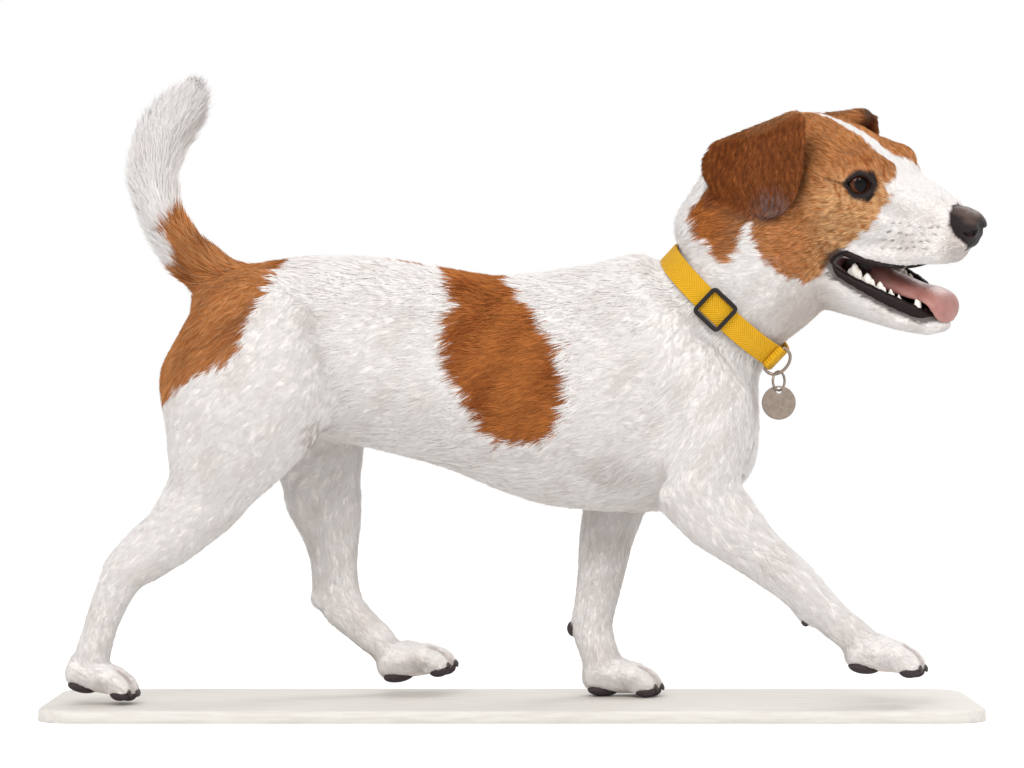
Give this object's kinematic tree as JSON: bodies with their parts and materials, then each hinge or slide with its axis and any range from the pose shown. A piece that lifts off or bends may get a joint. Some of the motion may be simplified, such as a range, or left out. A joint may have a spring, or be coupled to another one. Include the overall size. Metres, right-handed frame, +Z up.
{
  "type": "dog",
  "caption": "Still life-size terrier dog in mid-stride with open mouth, short white and tan coat, webbing collar with ring and blank tag, standing on a flat base.",
  "frame": {"origin": "centre of the stand's underside, on the floor", "axes": "+X from tail to nose along the stand, +Y to the dog's left, +Z up"},
  "size_m": [0.6, 0.17, 0.4179],
  "materials": {
    "coat": "short dense fur, white with tan and brown patches, lying flat",
    "nose_leather": "black pebbled skin, moist",
    "tongue": "wet pink, fine grain",
    "eye": "wet, dark brown iris and black pupil",
    "teeth": "ivory enamel, wet",
    "claws": "dark horn, satin",
    "webbing": "woven webbing, yellow",
    "collar_plastic": "moulded, black, satin",
    "ring_metal": "worn grey metal",
    "stand_wood": "pale grey paint, matt"
  },
  "bodies": {
    "root": {"trunk_rump": "coat", "trunk_loin": "coat", "trunk_chest": "coat", "neck": "coat", "hind_right_thigh": "coat", "hind_right_shank": "coat", "hind_right_hock": "coat", "hind_right_paw": "coat", "hind_left_thigh": "coat", "hind_left_shank": "coat", "hind_left_hock": "coat", "hind_left_paw": "coat", "fore_right_shoulder": "coat", "fore_right_forearm": "coat", "fore_right_pastern": "coat", "fore_right_paw": "coat", "fore_left_shoulder": "coat", "fore_left_forearm": "coat", "fore_left_pastern": "coat", "fore_left_paw": "coat", "tail_base": "coat", "tail_middle": "coat", "tail_tip": "coat", "head": "coat", "jaw": "coat", "ear_right": "coat", "ear_left": "coat", "nose": "nose_leather", "tongue": "tongue", "eye_right": "eye", "eye_left": "eye", "collar_strap": "webbing", "collar_keeper": "webbing", "collar_slider": "collar_plastic", "collar_buckle": "collar_plastic", "collar_ring": "ring_metal", "tag_ring": "ring_metal", "tag_disc": "ring_metal", "stand_base": "stand_wood"}
  },
  "joints": []
}
